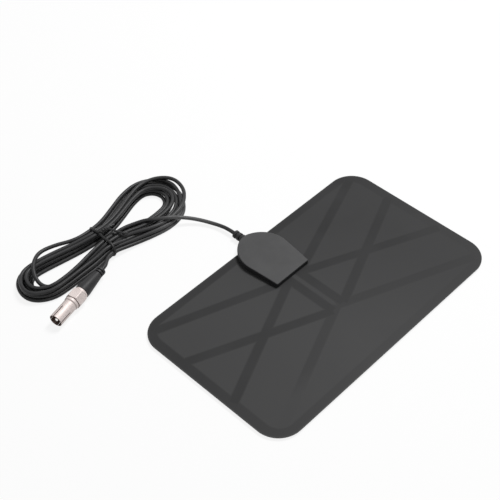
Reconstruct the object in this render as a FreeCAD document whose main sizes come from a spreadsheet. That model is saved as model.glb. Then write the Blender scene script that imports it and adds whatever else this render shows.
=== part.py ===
import FreeCAD, Part
import math
import os
from types import SimpleNamespace

import Sketcher

Vector = FreeCAD.Vector
Rotation = FreeCAD.Rotation
Constraint = Sketcher.Constraint

# Driving dimensions in millimetres. The sheet lies flat with its long sides along X, the housing sits on
# the middle of the +Y edge, and the object stands on Z = 0.
SIZES = {
    # Film sheet
    "sheet_width": 213,
    "sheet_depth": 129,
    "sheet_corner": 18.5,
    "film_thickness": 0.3,
    # Foil element: a border, crossed bands and two strips beside the feed gap
    "foil_thickness": 0.1,
    "foil_margin": 0.8,
    "border_side_width": 6.6,
    "border_edge_width": 5.5,
    "border_inner_corner": 11,
    "band_width": 6.6,
    "strip_width": 6.7,
    "feed_gap": 3.2,
    "strip_bottom": 17.6,
    "cross_start_top": 22,
    "cross_start_bottom": 17.5,
    "cross_end_top": 23.8,
    "cross_end_bottom": 21.5,
    "corner_band_apex": 16,
    "corner_band_side_inset": 9.5,
    "corner_band_edge_inset": 8,
    # Housing outline and covers
    "housing_overlap": 41.2,
    "housing_overhang": 6.5,
    "shoulder_from_nose": 24,
    "front_half_width": 15.5,
    "shoulder_half_width": 18,
    "nose_radius": 11,
    "front_corner": 1.2,
    "cover_roof": 1.1,
    "crown_radius": 480,
    "crown_crest": 36,
    "cover_edge_round": 0.8,
    "cover_wall": 1.2,
    "cavity_clearance": 0.6,
    "core_room_end": 9,
    "back_cover_thickness": 1.2,
    "back_cover_edge_round": 0.5,
    "sheet_edge_gap": 0.2,
    # Screws and rivets
    "screw_side_inset": 4,
    "screw_inset": 18.7,
    "screw_radius": 0.85,
    "screw_head_radius": 1.75,
    "screw_grip": 2.6,
    "screw_hole_radius": 1.0,
    "screw_clearance": 0.1,
    "screw_sink": 0.05,
    "boss_radius": 2.5,
    "rivet_inset": 5.7,
    "rivet_radius": 0.8,
    "rivet_bore_radius": 0.4,
    "rivet_head_radius": 1.5,
    "rivet_head_thickness": 0.3,
    "rivet_clearance": 0.05,
    "rivet_head_clearance": 0.2,
    "rivet_land": 4,
    # Matching transformer
    "board_boss_gap": 1,
    "board_inset": 2.6,
    "board_nose_inset": 15.1,
    "board_thickness": 1.2,
    "core_width": 7,
    "core_length": 5,
    "core_height": 2,
    "core_setback": 12.6,
    "core_clearance": 0.3,
    "core_side_room": 3,
    "core_hole_x": 1.6,
    "winding_radius": 0.5,
    "winding_clearance": 0.1,
    "winding_overrun": 0.6,
    # Strain relief
    "relief_neck_wall": 0.7,
    "relief_collar_wall": 1.1,
    "relief_collar_thickness": 1.5,
    "relief_flange_wall": 1.7,
    "relief_flange_seat": 0.6,
    "relief_flange_front": 1.2,
    "relief_groove_wall": 0.9,
    "relief_groove_width": 1.1,
    "relief_ring_wall": 1.6,
    "relief_ring_width": 2.3,
    "relief_ring_round": 0.5,
    "relief_clearance": 0.05,
    # Coaxial lead and its stripped end in the housing
    "cable_radius": 1.4,
    "cable_clearance": 0.1,
    "jacket_end": 9.5,
    "dielectric_radius": 0.75,
    "dielectric_gap": 0.3,
    "conductor_radius": 0.25,
    "conductor_land": 2.7,
    "shield_radius": 0.35,
    "shield_length": 7,
    "shield_x": 1.15,
    "shield_gap": 0.12,
    "shield_turn": 18,
    # Hank, measured from the end of the strain relief
    "hank_x": -70,
    "hank_y": 62.2,
    "hank_height": 8.4,
    "hank_edge_round": 2.4,
    "hank_left_reach": 52,
    "hank_left_radius": 17.5,
    "hank_right_reach": 51.4,
    "hank_right_radius": 25.3,
    "hank_waist_radius": 158,
    "left_opening_radius": 6.5,
    "left_opening_reach": 50.5,
    "left_opening_tip": 8,
    "right_opening_radius": 10,
    "right_opening_reach": 50,
    "right_opening_tip": 14,
    "opening_tip_radius": 1.2,
    # Twist tie
    "tie_radius": 0.75,
    "tie_end_radius": 0.6,
    "tie_bend": 3,
    "tie_turn": 10,
    # Plug, measured from the end of the strain relief, and along its own axis from the cable end
    "plug_x": -87.5,
    "plug_y": 41.3,
    "plug_turn": 193.8,
    "boot_length": 23.3,
    "boot_back_radius": 3.35,
    "boot_front_radius": 5.2,
    "boot_front_land": 3,
    "boot_groove_start": 1.8,
    "boot_groove_pitch": 2.2,
    "boot_groove_width": 0.9,
    "boot_groove_depth": 0.8,
    "boot_edge_round": 0.6,
    "ferrule_depth": 6,
    "ferrule_radius": 3.2,
    "ferrule_ring_radius": 5.0,
    "ferrule_ring_width": 1.7,
    "ferrule_neck_radius": 2.9,
    "ferrule_lip_height": 0.5,
    "ferrule_lip_width": 0.8,
    "nut_flats": 11,
    "nut_length": 8,
    "nut_wall": 1.2,
    "nut_chamfer": 0.7,
    "nut_clearance": 0.05,
    "nut_thread_wall": 0.9,
    "thread_length": 5.4,
    "adapter_length": 18.5,
    "adapter_flange_radius": 5.2,
    "adapter_flange_width": 1.8,
    "adapter_taper": 1,
    "shell_radius": 4.75,
    "shell_wall": 0.6,
    "shell_floor": 5,
    "shell_tip_round": 0.2,
    "slit_width": 0.7,
    "slit_length": 10,
    "slit_turn": 10,
    "insulator_radius": 2.6,
    "insulator_face": 4,
    "pin_radius": 1.2,
    "pin_back": 1.4,
    "pin_recess": 0.7,
    "pin_tip_round": 0.7,
    "pin_socket_depth": 5,
    "plug_dielectric_radius": 0.9,
    "plug_conductor_radius": 0.4,
    "plug_conductor_length": 5.5,
    "plug_clearance": 0.05,
}

# Route of the loose lead into the hank, from the lead's middle at the end of the strain relief.
LEAD_ROUTE = (
    (0.0, 0.0, 0.0),
    (0.0, 7.0, 0.0),
    (-1.3, 14.2, -0.55),
    (-3.7, 21.3, -0.75),
    (-7.2, 28.0, -0.05),
    (-11.9, 34.0, 1.25),
    (-17.3, 38.9, 2.65),
)

# Route of the lead into the hank from its middle at the plug's cable end.
TAIL_ROUTE = (
    (0.0, 0.0, 0.0),
    (4.3, 1.056, 0.0),
    (8.8, 3.0, -0.4),
    (12.9, 6.1, -0.9),
    (15.9, 9.9, -1.2),
)

# Twisted ends of the tie, from the middle of the hank's upper side.
TIE_ENDS = (
    ((0.4, 4.6, 0.2), (6.0, 4.8, 1.1), (10.4, 3.6, 1.0), (14.0, 3.4, 0.9)),
    ((0.4, 4.6, 0.2), (6.4, 3.6, 1.0), (10.4, -1.2, 1.0), (13.6, -7.4, 0.9)),
)

doc = FreeCAD.newDocument("tv_antenna")
sheet = doc.addObject("Spreadsheet::Sheet", "sizes")
for row, (name, number) in enumerate(SIZES.items(), start=1):
    sheet.set(f"A{row}", str(number))
    sheet.setAlias(f"A{row}", name)
doc.recompute()


class Size:
    """A size, or a sum of sizes: its number, and its text for a bound expression."""

    def __init__(self, number, text):
        self.number = number
        self.text = text

    def __add__(self, other):
        other = as_size(other)
        return Size(self.number + other.number, f"({self.text} + {other.text})")

    def __sub__(self, other):
        other = as_size(other)
        return Size(self.number - other.number, f"({self.text} - {other.text})")

    def __mul__(self, factor):
        return Size(self.number * factor, f"({self.text} * {factor})")

    def __truediv__(self, divisor):
        return Size(self.number / divisor, f"({self.text} / {divisor})")

    def __neg__(self):
        return Size(-self.number, f"(-1 * {self.text})")


def as_size(value):
    """A plain number as a size."""
    if isinstance(value, Size):
        return value
    return Size(float(value), str(float(value)))


s = SimpleNamespace(**{name: Size(float(sheet.get(name)), f"sizes.{name}") for name in SIZES})

# Places along Y, from the middle of the sheet
sheet_back = s.sheet_depth / 2
housing_front = sheet_back - s.housing_overlap
nose = sheet_back + s.housing_overhang
shoulder = nose - s.shoulder_from_nose
rivet_y = housing_front + s.rivet_inset
screw_y = housing_front + s.screw_inset
board_front = housing_front + s.board_inset
board_back = nose - s.board_nose_inset
core_y = board_back - s.core_setback
core_front = core_y - s.core_length / 2
jacket_back = nose - s.jacket_end
relief_end = nose + s.relief_flange_front + (s.relief_groove_width + s.relief_ring_width) * 2

# Places along X
strip_x = (s.feed_gap + s.strip_width) / 2
screw_x = s.front_half_width - s.screw_side_inset
board_half_width = screw_x - s.boss_radius - s.board_boss_gap

# Heights above the floor
sheet_bottom = s.back_cover_thickness
sheet_thickness = s.film_thickness * 2
sheet_top = sheet_bottom + sheet_thickness
board_top = sheet_top + s.board_thickness
lead_height = board_top + s.conductor_radius
plug_height = s.nut_flats / 2

# Heights of the upper cover above the sheet: its inside, its inside over the core, and its crest
cavity_height = s.board_thickness + s.rivet_head_thickness + s.cavity_clearance
core_room_height = s.board_thickness + s.core_height + s.core_clearance
cover_height = core_room_height + s.cover_roof

# Radii of the strain relief, as walls round the lead
relief_neck = s.cable_radius + s.relief_neck_wall
relief_collar = s.cable_radius + s.relief_collar_wall
relief_flange = s.cable_radius + s.relief_flange_wall
relief_groove = s.cable_radius + s.relief_groove_wall
relief_ring = s.cable_radius + s.relief_ring_wall

# Steps along the strain relief
collar_front = nose - s.cover_wall
collar_back = collar_front - s.relief_collar_thickness
flange_back = nose - s.relief_flange_seat
flange_front = nose + s.relief_flange_front

# The origin is under the middle of the antenna without its lead, so the sheet's middle lies at -Y.
centre_shift = (sheet_back - relief_end) / 2
lead_start = relief_end + centre_shift

parts = {}


def bind(item, prop, value):
    """Tie a property to the sizes in the sheet."""
    item.setExpression(prop, as_size(value).text)


def place(item, x=0, y=0, z=0):
    """Bind where an object of the antenna's own frame stands."""
    bind(item, "Placement.Base.x", x)
    bind(item, "Placement.Base.y", y)
    bind(item, "Placement.Base.z", z)


def keep(label, item):
    """Name a finished sub-part."""
    item.Label = label
    parts[label] = item


def new_body(name):
    """An empty body."""
    return doc.addObject("PartDesign::Body", name)


def sketch_on(body, role, name):
    """A sketch on one of the body's own planes."""
    sketch = body.newObject("Sketcher::SketchObject", f"{body.Name}_{name}")
    plane = next(item for item in body.Origin.OriginFeatures if item.Role == role)
    sketch.AttachmentSupport = [(plane, "")]
    sketch.MapMode = "FlatFace"
    return sketch


def dimension(sketch, value, *constraint):
    """A dimension of a sketch, bound to the sizes."""
    value = as_size(value)
    index = sketch.addConstraint(Constraint(*constraint, value.number))
    sketch.setExpression(f"Constraints[{index}]", value.text)


def pin(sketch, line, end, x, y):
    """Bind a sketch point to a pair of sizes."""
    for kind, axis, value in (("DistanceX", -2, as_size(x)), ("DistanceY", -1, as_size(y))):
        if value.number == 0:
            sketch.addConstraint(Constraint("PointOnObject", line, end, axis))
        else:
            dimension(sketch, value, kind, -1, 1, line, end)


def flat_point(x, y):
    """A sketch point as a vector."""
    return Vector(as_size(x).number, as_size(y).number, 0)


def polygon(sketch, corners):
    """A closed outline of straight lines."""
    first = sketch.GeometryCount
    count = len(corners)
    points = [flat_point(x, y) for x, y in corners]
    for index in range(count):
        sketch.addGeometry(Part.LineSegment(points[index], points[(index + 1) % count]), False)
    for index, (x, y) in enumerate(corners):
        sketch.addConstraint(Constraint("Coincident", first + index, 2, first + (index + 1) % count, 1))
        pin(sketch, first + index, 1, x, y)


def rectangle(sketch, left, front, right, back):
    """An upright rectangle."""
    polygon(sketch, ((left, front), (right, front), (right, back), (left, back)))


def circle(sketch, x, y, radius):
    """A circle."""
    ring = Part.Circle(flat_point(x, y), Vector(0, 0, 1), as_size(radius).number)
    index = sketch.addGeometry(ring, False)
    pin(sketch, index, 3, x, y)
    dimension(sketch, radius, "Radius", index)


def arc(centre, radius, start, end):
    """A sketch arc, anticlockwise between two points."""
    first = math.atan2(start.y - centre.y, start.x - centre.x)
    last = math.atan2(end.y - centre.y, end.x - centre.x)
    return Part.ArcOfCircle(Part.Circle(centre, Vector(0, 0, 1), radius), first, last)


def pad(sketch, body, length):
    """Raise a sketch into a solid."""
    feature = body.newObject("PartDesign::Pad", f"{sketch.Name}_pad")
    feature.Profile = sketch
    bind(feature, "Length", length)
    doc.recompute()
    return feature


def pocket(sketch, body, depth, upward):
    """Cut a sketch into the solid, and make sure that it removed something."""
    before = body.Shape.Volume
    feature = body.newObject("PartDesign::Pocket", f"{sketch.Name}_pocket")
    feature.Profile = sketch
    feature.Reversed = upward
    bind(feature, "Length", depth)
    doc.recompute()
    if body.Shape.Volume > before - 1e-6:
        raise RuntimeError(f"{feature.Name} cut nothing")
    return feature


def turn(sketch, body, axis, kind="PartDesign::Revolution"):
    """Turn a profile round one of its sketch's axes, as a solid or as a cut."""
    before = body.Shape.Volume if body.Tip else 0
    feature = body.newObject(kind, f"{sketch.Name}_turned")
    feature.Profile = sketch
    feature.ReferenceAxis = (sketch, [axis])
    feature.Angle = 360
    doc.recompute()
    if abs(body.Shape.Volume - before) < 1e-6:
        raise RuntimeError(f"{feature.Name} changed nothing")
    return feature


def edge_names(feature, chosen):
    """Names of the edges of a feature that a test picks."""
    return [f"Edge{number}" for number, edge in enumerate(feature.Shape.Edges, start=1) if chosen(edge)]


def soften(body, feature, chosen, radius, kind="PartDesign::Fillet", prop="Radius"):
    """Round or chamfer the edges that a test picks."""
    softened = body.newObject(kind, f"{feature.Name}_edges")
    softened.Base = (feature, edge_names(feature, chosen))
    bind(softened, prop, radius)
    doc.recompute()
    return softened


def is_upright(edge):
    """A straight edge along Z."""
    return isinstance(edge.Curve, Part.Line) and abs(edge.Curve.Direction.z) > 0.99


def is_circle_of(radius):
    """A test for full circles of one radius."""
    def chosen(edge):
        return isinstance(edge.Curve, Part.Circle) and abs(edge.Curve.Radius - radius.number) < 1e-4
    return chosen


def solid_of(kind, name, **properties):
    """A primitive with its sizes bound."""
    item = doc.addObject(kind, name)
    for prop, value in properties.items():
        bind(item, prop, value)
    return item


def cut(name, base, tool):
    """One solid less another."""
    item = doc.addObject("Part::Cut", name)
    item.Base = base
    item.Tool = tool
    return item


def fuse(name, *shapes):
    """Several solids as one."""
    item = doc.addObject("Part::MultiFuse", name)
    item.Shapes = list(shapes)
    return item


def mirrored(name, source):
    """The same thing on the other side of the middle line."""
    item = doc.addObject("Part::Mirroring", name)
    item.Source = source
    item.Normal = Vector(1, 0, 0)
    return item


def pair(name, source):
    """A thing and its mirror image, as separate solids."""
    item = doc.addObject("Part::Compound", name)
    item.Links = [source, mirrored(f"{name}_mirrored", source)]
    return item


def hole_pair(name, radius, x, y):
    """Two upright drills that reach through the sheet and everything on it."""
    drill = solid_of("Part::Cylinder", f"{name}_drill", Radius=radius, Height=board_top * 2)
    place(drill, x, y + centre_shift, -board_top / 2)
    return pair(name, drill)


rivet_holes = hole_pair("rivet_holes", s.rivet_radius + s.rivet_clearance, strip_x, rivet_y)
screw_holes = hole_pair("screw_holes", s.screw_hole_radius, screw_x, screw_y)


def rounded_plate(name, half_width, half_depth, corner, thickness, level):
    """A flat rectangle with round corners."""
    body = new_body(name)
    outline = sketch_on(body, "XY_Plane", "outline")
    rectangle(outline, -half_width, -half_depth, half_width, half_depth)
    plate = pad(outline, body, thickness)
    soften(body, plate, is_upright, corner)
    place(body, 0, centre_shift, level)
    return body


def band(body, name, start, end, width):
    """A straight strip of foil between two points, made as a rectangle about its middle line."""
    sketch = sketch_on(body, "XY_Plane", name)
    first = flat_point(*start)
    last = flat_point(*end)
    along = (last - first).normalize()
    across = Vector(-along.y, along.x, 0) * (width.number / 2)
    corners = (first - across, last - across, last + across, first + across)
    for index in range(4):
        sketch.addGeometry(Part.LineSegment(corners[index], corners[(index + 1) % 4]), False)
    middle = sketch.addGeometry(Part.LineSegment(first, last), True)
    for index in range(4):
        sketch.addConstraint(Constraint("Coincident", index, 2, (index + 1) % 4, 1))
    for index in range(3):
        sketch.addConstraint(Constraint("Perpendicular", index, index + 1))
    sketch.addConstraint(Constraint("Symmetric", 3, 1, 3, 2, middle, 1))
    sketch.addConstraint(Constraint("Symmetric", 1, 1, 1, 2, middle, 2))
    pin(sketch, middle, 1, *start)
    pin(sketch, middle, 2, *end)
    dimension(sketch, width, "Distance", 3)
    return pad(sketch, body, s.foil_thickness)


def make_foil():
    """The foil element: one etched piece, a border joined to the crossed bands of both halves."""
    level = sheet_bottom + s.film_thickness - s.foil_thickness
    half_width = s.sheet_width / 2 - s.foil_margin
    half_depth = sheet_back - s.foil_margin
    outer = rounded_plate("foil_outline", half_width, half_depth, s.sheet_corner - s.foil_margin,
                          s.foil_thickness, level)
    inner = rounded_plate("foil_window", half_width - s.border_side_width, half_depth - s.border_edge_width,
                          s.border_inner_corner, s.foil_thickness, level)
    border = cut("foil_border", outer, inner)

    arms = new_body("foil_arms")
    cross_x = half_width - s.border_side_width / 2
    corner_x = s.sheet_width / 2 - s.corner_band_side_inset
    corner_y = sheet_back - s.corner_band_edge_inset
    band(arms, "strip", (strip_x, -s.strip_bottom), (strip_x, rivet_y + s.rivet_land), s.strip_width)
    band(arms, "upper_corner", (strip_x, s.cross_start_top), (corner_x, corner_y), s.band_width)
    band(arms, "falling", (strip_x, s.cross_start_top), (cross_x, -s.cross_end_bottom), s.band_width)
    band(arms, "rising", (strip_x, -s.cross_start_bottom), (cross_x, s.cross_end_top), s.band_width)
    band(arms, "lower_corner", (0, -s.corner_band_apex), (corner_x, -corner_y), s.band_width)
    place(arms, 0, centre_shift, level)

    halves = fuse("foil_halves", border, arms, mirrored("foil_other_arms", arms))
    gap_front = s.strip_bottom + s.band_width * 2
    gap = solid_of("Part::Box", "feed_gap_cut", Length=s.feed_gap, Height=s.foil_thickness * 3,
                   Width=gap_front + rivet_y + s.rivet_land * 2)
    place(gap, -s.feed_gap / 2, centre_shift - gap_front, level - s.foil_thickness)
    foil = cut("antenna_foil", cut("foil_split", halves, gap), rivet_holes)
    keep("antenna_foil", foil)
    return foil


def make_films(foil):
    """The two films. The lower one is formed round the foil, so that the upper one lies flat on both."""
    for label, level in (("back_film", sheet_bottom), ("front_film", sheet_bottom + s.film_thickness)):
        film = rounded_plate(f"{label}_blank", s.sheet_width / 2, sheet_back, s.sheet_corner,
                             s.film_thickness, level)
        if label == "back_film":
            film = cut(f"{label}_formed", film, foil)
        film = cut(f"{label}_riveted", film, rivet_holes)
        keep(label, cut(label, film, screw_holes))


def shield_outline(body, name, inset):
    """The housing's outline: a straight front, tapered sides and an arch of three tangent arcs."""
    sketch = sketch_on(body, "XY_Plane", name)
    front = housing_front + inset
    front_x = s.front_half_width - inset
    side_x = s.shoulder_half_width - inset
    tip_radius = s.nose_radius - inset
    tip_y = nose - s.nose_radius
    front_right = flat_point(front_x, front)
    side_right = flat_point(side_x, shoulder)
    tip_centre = flat_point(0, tip_y)
    along = (side_right - front_right).normalize()
    outward = Vector(along.y, -along.x, 0)
    reach = side_right - tip_centre
    side_radius = (reach.dot(reach) - tip_radius.number ** 2) / (2 * (reach.dot(outward) - tip_radius.number))
    side_centre = side_right - outward * side_radius
    joint = tip_centre + (tip_centre - side_centre).normalize() * tip_radius.number

    def flip(point):
        return Vector(-point.x, point.y, 0)

    sketch.addGeometry(Part.LineSegment(flip(front_right), front_right), False)
    sketch.addGeometry(Part.LineSegment(front_right, side_right), False)
    sketch.addGeometry(arc(side_centre, side_radius, side_right, joint), False)
    sketch.addGeometry(arc(tip_centre, tip_radius.number, joint, flip(joint)), False)
    sketch.addGeometry(arc(flip(side_centre), side_radius, flip(joint), flip(side_right)), False)
    sketch.addGeometry(Part.LineSegment(flip(side_right), flip(front_right)), False)
    sketch.addConstraint(Constraint("Coincident", 5, 2, 0, 1))
    sketch.addConstraint(Constraint("Coincident", 0, 2, 1, 1))
    for line in range(1, 5):
        sketch.addConstraint(Constraint("Tangent", line, 2, line + 1, 1))
    pin(sketch, 0, 1, -front_x, front)
    pin(sketch, 0, 2, front_x, front)
    pin(sketch, 1, 2, side_x, shoulder)
    pin(sketch, 5, 1, -side_x, shoulder)
    pin(sketch, 3, 3, 0, tip_y)
    dimension(sketch, tip_radius, "Radius", 3)
    return sketch


def is_front_corner(edge):
    """An upright edge at either end of the housing's straight front."""
    return is_upright(edge) and abs(edge.Vertexes[0].Y - housing_front.number) < 1e-4


def relief_seat(body, level):
    """The bore in a cover for the lead and the strain relief, round the lead's own axis."""
    sketch = sketch_on(body, "YZ_Plane", "relief_seat")
    bind(sketch, "AttachmentOffset.Base.y", lead_height - level)
    channel_back = jacket_back - s.cover_wall
    channel = s.cable_radius + s.cable_clearance
    collar = relief_collar + s.relief_clearance
    neck = relief_neck + s.relief_clearance
    flange = relief_flange + s.relief_clearance
    polygon(sketch, ((channel_back, 0), (flange_front, 0), (flange_front, flange), (flange_back, flange),
                     (flange_back, neck), (collar_front, neck), (collar_front, collar),
                     (collar_back, collar), (collar_back, channel), (channel_back, channel)))
    turn(sketch, body, "H_Axis", "PartDesign::Groove")


def make_top_cover():
    """The upper housing half: a crowned shell with two screw bosses and a roomier middle for the core."""
    body = new_body("housing_top_cover")
    block = pad(shield_outline(body, "outline", as_size(0)), body, cover_height)
    soften(body, block, is_front_corner, s.front_corner)

    crown = sketch_on(body, "YZ_Plane", "crown")
    crest = housing_front + s.crown_crest
    crown_centre = flat_point(crest, cover_height - s.crown_radius)
    front = housing_front - s.cover_wall
    back = nose + s.cover_wall
    above = cover_height + s.cover_wall
    ends = []
    for y in (back, front):
        rise = math.sqrt(s.crown_radius.number ** 2 - (y.number - crest.number) ** 2)
        ends.append(Vector(y.number, crown_centre.y + rise, 0))
    crown.addGeometry(arc(crown_centre, s.crown_radius.number, *ends), False)
    crown.addGeometry(Part.LineSegment(ends[1], flat_point(front, above)), False)
    crown.addGeometry(Part.LineSegment(flat_point(front, above), flat_point(back, above)), False)
    crown.addGeometry(Part.LineSegment(flat_point(back, above), ends[0]), False)
    for line in range(4):
        crown.addConstraint(Constraint("Coincident", line, 2, (line + 1) % 4, 1))
    pin(crown, 0, 3, crest, cover_height - s.crown_radius)
    dimension(crown, s.crown_radius, "Radius", 0)
    pin(crown, 2, 1, front, above)
    pin(crown, 2, 2, back, above)
    crown.addConstraint(Constraint("Vertical", 1))
    crown.addConstraint(Constraint("Vertical", 3))
    crowned = pocket(crown, body, s.shoulder_half_width * 4, False)
    crowned.SideType = "Symmetric"
    doc.recompute()

    def on_crown(edge):
        return edge.BoundBox.ZMin > cover_height.number / 4 and not is_upright(edge)

    soften(body, crowned, on_crown, s.cover_edge_round)

    pocket(shield_outline(body, "cavity", s.cover_wall), body, cavity_height, True)
    core_room = sketch_on(body, "XY_Plane", "core_room")
    room_side = s.core_width / 2 + s.core_side_room
    room_front = core_front - s.winding_overrun - s.core_hole_x - s.winding_radius - s.core_clearance
    rectangle(core_room, -room_side, room_front, room_side, nose - s.core_room_end)
    pocket(core_room, body, core_room_height, True)
    bosses = sketch_on(body, "XY_Plane", "bosses")
    pilots = sketch_on(body, "XY_Plane", "pilots")
    for x in (-screw_x, screw_x):
        circle(bosses, x, screw_y, s.boss_radius)
        circle(pilots, x, screw_y, s.screw_radius)
    pad(bosses, body, cavity_height)
    pocket(pilots, body, s.screw_grip + s.screw_clearance, True)
    relief_seat(body, sheet_top)
    place(body, 0, centre_shift, sheet_top)
    keep("housing_top_cover", body)


def make_back_cover():
    """The flat lower half. Its nose is thicker, to fill the sheet's thickness beyond the sheet's edge."""
    body = new_body("housing_back_cover")
    plate = pad(shield_outline(body, "outline", as_size(0)), body, sheet_top)
    plate = soften(body, plate, is_front_corner, s.front_corner)

    def under(edge):
        return edge.BoundBox.ZMax < 1e-6

    soften(body, plate, under, s.back_cover_edge_round)
    rebate = sketch_on(body, "XY_Plane", "rebate")
    bind(rebate, "AttachmentOffset.Base.z", sheet_top)
    side = s.shoulder_half_width + s.cover_wall
    rectangle(rebate, -side, housing_front - s.cover_wall, side, sheet_back + s.sheet_edge_gap)
    pocket(rebate, body, sheet_thickness, False)
    rivet_room = sketch_on(body, "XY_Plane", "rivet_room")
    bind(rivet_room, "AttachmentOffset.Base.z", sheet_bottom)
    holes = sketch_on(body, "XY_Plane", "screw_holes")
    for side in (-1, 1):
        circle(rivet_room, strip_x * side, rivet_y, s.rivet_head_radius + s.rivet_head_clearance)
        circle(holes, screw_x * side, screw_y, s.screw_hole_radius)
    pocket(rivet_room, body, s.rivet_head_thickness + s.rivet_clearance, False)
    drilled = pocket(holes, body, sheet_top, True)

    def screw_mouth(edge):
        return is_circle_of(s.screw_hole_radius)(edge) and edge.BoundBox.ZMax < 1e-6

    countersink = s.screw_head_radius + s.screw_clearance - s.screw_hole_radius
    soften(body, drilled, screw_mouth, countersink, "PartDesign::Chamfer", "Size")
    relief_seat(body, as_size(0))
    place(body, 0, centre_shift, 0)
    keep("housing_back_cover", body)


def turned_body(name, role, axis, profile):
    """A body turned from one closed profile."""
    body = new_body(name)
    sketch = sketch_on(body, role, "profile")
    polygon(sketch, profile)
    return body, turn(sketch, body, axis)


def make_fasteners():
    """Two countersunk screws through the back cover, and two eyelets that join the foil to the board."""
    shank = s.screw_radius
    head = s.screw_head_radius
    length = sheet_top + s.screw_grip - s.screw_sink
    screw, _ = turned_body("housing_screw", "XZ_Plane", "V_Axis",
                           ((0, 0), (head, 0), (shank, head - shank), (shank, length), (0, length)))
    place(screw, screw_x, centre_shift + screw_y, s.screw_sink)
    keep("housing_screws", pair("housing_screws", screw))

    bore = s.rivet_bore_radius
    rim = s.rivet_head_radius
    under = -s.rivet_head_thickness
    body_top = sheet_thickness + s.board_thickness
    top = body_top + s.rivet_head_thickness
    rivet, _ = turned_body("feed_rivet", "XZ_Plane", "V_Axis",
                           ((bore, under), (rim, under), (rim, 0), (s.rivet_radius, 0),
                            (s.rivet_radius, body_top), (rim, body_top), (rim, top), (bore, top)))
    place(rivet, strip_x, centre_shift + rivet_y, sheet_bottom)
    keep("feed_rivets", pair("feed_rivets", rivet))


def make_balun():
    """The matching transformer: a board with a two-hole ferrite core and one hairpin of wire."""
    board = solid_of("Part::Box", "board_blank", Length=board_half_width * 2, Width=board_back - board_front,
                     Height=s.board_thickness)
    place(board, -board_half_width, centre_shift + board_front, sheet_top)
    keep("balun_board", cut("balun_board", board, rivet_holes))

    hole_height = s.core_height / 2
    core = new_body("balun_core")
    face = sketch_on(core, "XZ_Plane", "face")
    rectangle(face, -s.core_width / 2, 0, s.core_width / 2, s.core_height)
    for x in (-s.core_hole_x, s.core_hole_x):
        circle(face, x, hole_height, s.winding_radius + s.winding_clearance)
    block = pad(face, core, s.core_length)
    block.SideType = "Symmetric"
    place(core, 0, centre_shift + core_y, board_top)
    keep("balun_core", core)

    leg = s.core_hole_x.number
    rise = hole_height.number
    front = -s.core_length.number / 2 - s.winding_overrun.number
    back = s.core_length.number / 2 + s.winding_overrun.number
    slope = rise * math.sqrt(0.5)
    left = (Vector(-leg, back + rise, 0), Vector(-leg, back + slope, slope), Vector(-leg, back, rise))
    right = [Vector(-point.x, point.y, point.z) for point in reversed(left)]
    turn_left = Vector(-leg, front, rise)
    turn_right = Vector(leg, front, rise)
    path = Part.Wire([
        Part.Arc(*left).toShape(),
        Part.LineSegment(left[2], turn_left).toShape(),
        Part.Arc(turn_left, Vector(0, front - leg, rise), turn_right).toShape(),
        Part.LineSegment(turn_right, right[0]).toShape(),
        Part.Arc(*right).toShape(),
    ])
    start = Part.Wire(Part.Circle(left[0], Vector(0, 0, 1), s.winding_radius.number).toShape())
    winding = doc.addObject("Part::Feature", "balun_winding")
    winding.Shape = path.makePipeShell([start], True, False)
    place(winding, 0, centre_shift + core_y, board_top)
    keep("balun_winding", winding)


def make_relief():
    """The strain relief: moulded on the lead, with a collar inside the nose and two knuckle rings outside."""
    bore = s.cable_radius
    profile = [(collar_back, bore), (collar_back, relief_collar), (collar_front, relief_collar),
               (collar_front, relief_neck), (flange_back, relief_neck), (flange_back, relief_flange)]
    step = flange_front
    rim = relief_flange
    for _ in range(2):
        ring_start = step + s.relief_groove_width
        profile += [(step, rim), (step, relief_groove), (ring_start, relief_groove), (ring_start, relief_ring)]
        step = ring_start + s.relief_ring_width
        rim = relief_ring
    profile += [(relief_end, relief_ring), (relief_end, bore)]
    body, turned = turned_body("strain_relief", "YZ_Plane", "H_Axis", profile)
    soften(body, turned, is_circle_of(relief_ring), s.relief_ring_round)
    place(body, 0, centre_shift, lead_height)
    keep("strain_relief", body)


def make_lead_end():
    """The end of the lead in the housing: jacket, insulation, inner conductor and the shield's pigtail."""
    along_y = Rotation(Vector(1, 0, 0), -90)
    board_edge = board_back + s.dielectric_gap
    pieces = (
        ("lead_jacket_end", s.cable_radius, jacket_back, relief_end),
        ("lead_dielectric_end", s.dielectric_radius, board_edge, jacket_back),
        ("lead_conductor_end", s.conductor_radius, board_edge - s.conductor_land, board_edge),
    )
    for label, radius, back, front in pieces:
        piece = solid_of("Part::Cylinder", label, Radius=radius, Height=front - back)
        piece.Placement.Rotation = along_y
        place(piece, 0, centre_shift + back, lead_height)
        keep(label, piece)
    shield = solid_of("Part::Cylinder", "lead_shield_end", Radius=s.shield_radius, Height=s.shield_length)
    shield.Placement.Rotation = Rotation(Vector(0, 0, 1), s.shield_turn.number) * along_y.inverted()
    place(shield, s.shield_x, centre_shift + jacket_back - s.shield_gap, board_top + s.shield_radius)
    keep("lead_shield_end", shield)


def route_wire(points):
    """Straight runs joined by tangent arcs, each arc as large as its two runs allow."""
    edges = []
    radii = []
    last = points[0]
    for before, corner, after in zip(points, points[1:], points[2:]):
        inward = before - corner
        outward = after - corner
        reach = 0.45 * min(inward.Length, outward.Length)
        inward.normalize()
        outward.normalize()
        half_turn = (math.pi - inward.getAngle(outward)) / 2
        radius = reach / math.tan(half_turn)
        middle = inward + outward
        middle.normalize()
        start = corner + inward * reach
        end = corner + outward * reach
        top = corner + middle * (radius / math.cos(half_turn) - radius)
        edges.append(Part.LineSegment(last, start).toShape())
        edges.append(Part.Arc(start, top, end).toShape())
        radii.append(radius)
        last = end
    edges.append(Part.LineSegment(last, points[-1]).toShape())
    return Part.Wire(edges), radii


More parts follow.
